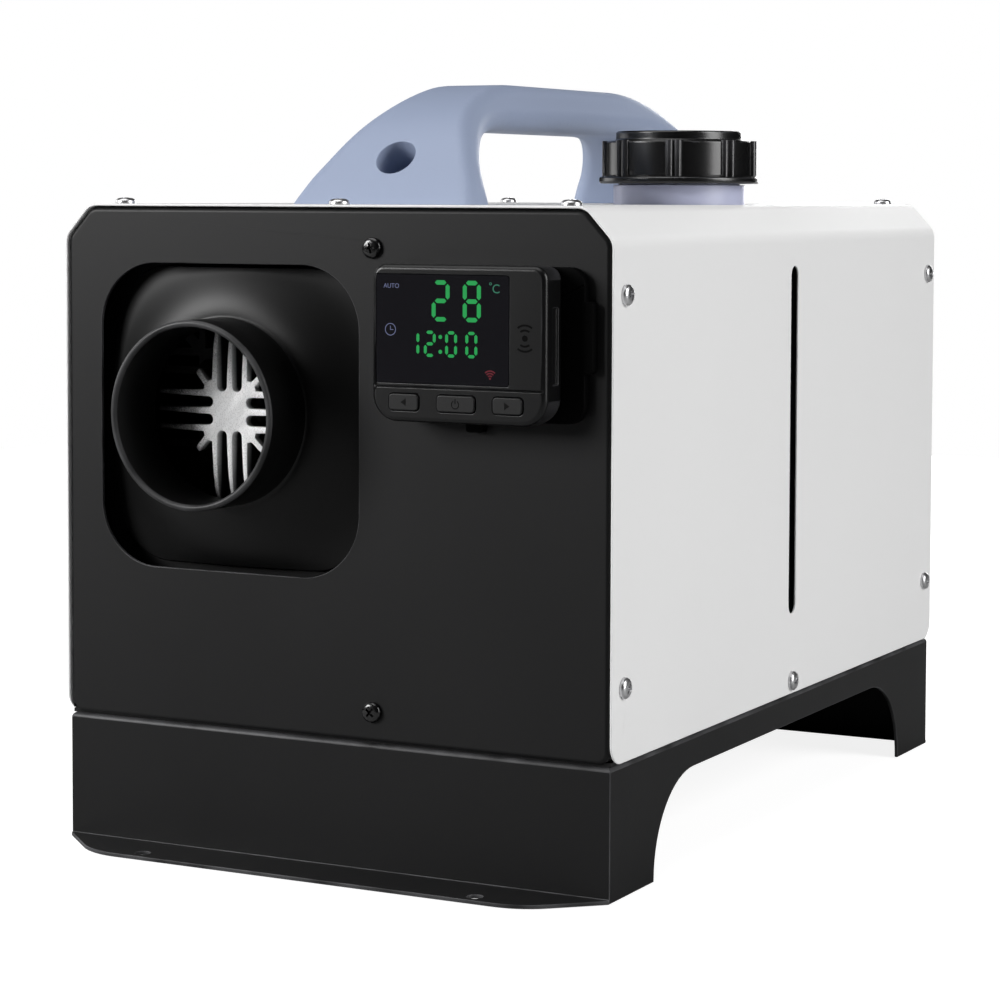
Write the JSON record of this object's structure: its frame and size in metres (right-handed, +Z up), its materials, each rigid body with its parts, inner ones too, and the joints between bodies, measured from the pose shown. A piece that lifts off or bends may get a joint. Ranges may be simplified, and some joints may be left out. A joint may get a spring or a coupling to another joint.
{
  "type": "portable diesel air heater",
  "caption": "Portable diesel air heater: boxed burner and fuel tank on an open base stand, with hot air outlet, controller, filler cap and carrying handle.",
  "frame": {"origin": "on the ground, in the middle of the four foot holes", "axes": "+X to the right as seen from the front, +Y from front to back, +Z up"},
  "size_m": [0.2448, 0.398, 0.302],
  "materials": {
    "white_paint": "satin",
    "black_paint": "satin",
    "zinc_sheet": "satin",
    "cast_alloy": "as cast",
    "hood_plastic": "moulded satin",
    "shell_plastic": "moulded",
    "cap_plastic": "gloss",
    "handle_plastic": "moulded satin",
    "tank_plastic": "natural, slightly cloudy",
    "case_plastic": "moulded satin",
    "button_rubber": "soft",
    "display": "gloss",
    "screw_steel": "bright",
    "black_screw": "gloss",
    "steel": "satin",
    "rubber": "matt",
    "fuel_hose": "satin",
    "filter_plastic": "cloudy",
    "circuit_board": "lacquered"
  },
  "bodies": {
    "heater_box": {"top_cover": "white_paint", "front_panel": "black_paint", "rear_panel": "black_paint", "base_stand": "black_paint", "floor_plate": "zinc_sheet", "partition_plate": "zinc_sheet", "outlet_hood": "hood_plastic", "heater_shell_upper": "shell_plastic", "heater_shell_lower": "shell_plastic", "heat_exchanger": "cast_alloy", "combustion_chamber": "steel", "glow_plug": "steel", "overheat_sensor": "steel", "blower_housing": "cast_alloy", "fan_motor": "steel", "intake_guard": "shell_plastic", "control_unit": "case_plastic", "mount_gasket": "rubber", "heater_cradle": "zinc_sheet", "foot_studs": "steel", "exhaust_pipe": "steel", "combustion_air_pipe": "shell_plastic", "pipe_seals": "rubber", "fuel_tank": "tank_plastic", "tank_pads": "rubber", "tank_outlet": "steel", "outlet_grommet": "rubber", "tank_fuel_line": "fuel_hose", "fuel_filter": "filter_plastic", "filter_fuel_line": "fuel_hose", "fuel_pump": "steel", "pump_clamp": "rubber", "burner_fuel_line": "fuel_hose", "carry_handle": "handle_plastic", "handle_bolts": "steel", "controller_front": "case_plastic", "controller_back": "case_plastic", "controller_holder": "case_plastic", "controller_board": "circuit_board", "display_glass": "display", "rear_grille": "shell_plastic", "cable_gland": "shell_plastic", "cover_screws": "screw_steel", "front_panel_screws": "black_screw", "rear_panel_screws": "black_screw", "base_screws": "steel", "cradle_screws": "steel"},
    "rotor": {"motor_shaft": "steel", "combustion_impeller": "cast_alloy", "hot_air_fan": "shell_plastic"},
    "cap_seal": {"cap_gasket": "rubber"},
    "cap": {"fuel_cap": "cap_plastic"},
    "left_key": {"button_left": "button_rubber"},
    "power_key": {"button_power": "button_rubber"},
    "right_key": {"button_right": "button_rubber"}
  },
  "joints": [
    {"name": "rotor_spin", "type": "hinge", "parent": "heater_box", "child": "rotor", "pos_m": [-0.0445, 0.06, 0.1732], "axis": [0, 1, 0], "continuous": true},
    {"name": "cap_rise", "type": "slide", "parent": "heater_box", "child": "cap_seal", "axis": [0, 0, 1], "range_m": [0, 0.0181]},
    {"name": "cap_turn", "type": "hinge", "parent": "cap_seal", "child": "cap", "pos_m": [0.0675, 0, 0.27], "axis": [0, 0, 1], "range_deg": [0, 1080]},
    {"name": "left_key_press", "type": "slide", "parent": "heater_box", "child": "left_key", "axis": [0, 1, 0], "range_m": [0, 0.0006], "stiffness_N_per_m": 400},
    {"name": "power_key_press", "type": "slide", "parent": "heater_box", "child": "power_key", "axis": [0, 1, 0], "range_m": [0, 0.0006], "stiffness_N_per_m": 400},
    {"name": "right_key_press", "type": "slide", "parent": "heater_box", "child": "right_key", "axis": [0, 1, 0], "range_m": [0, 0.0006], "stiffness_N_per_m": 400}
  ],
  "couplings": [
    {"joint": "cap_rise", "follows": "cap_turn", "m_per_rad": 0.00095493}
  ]
}
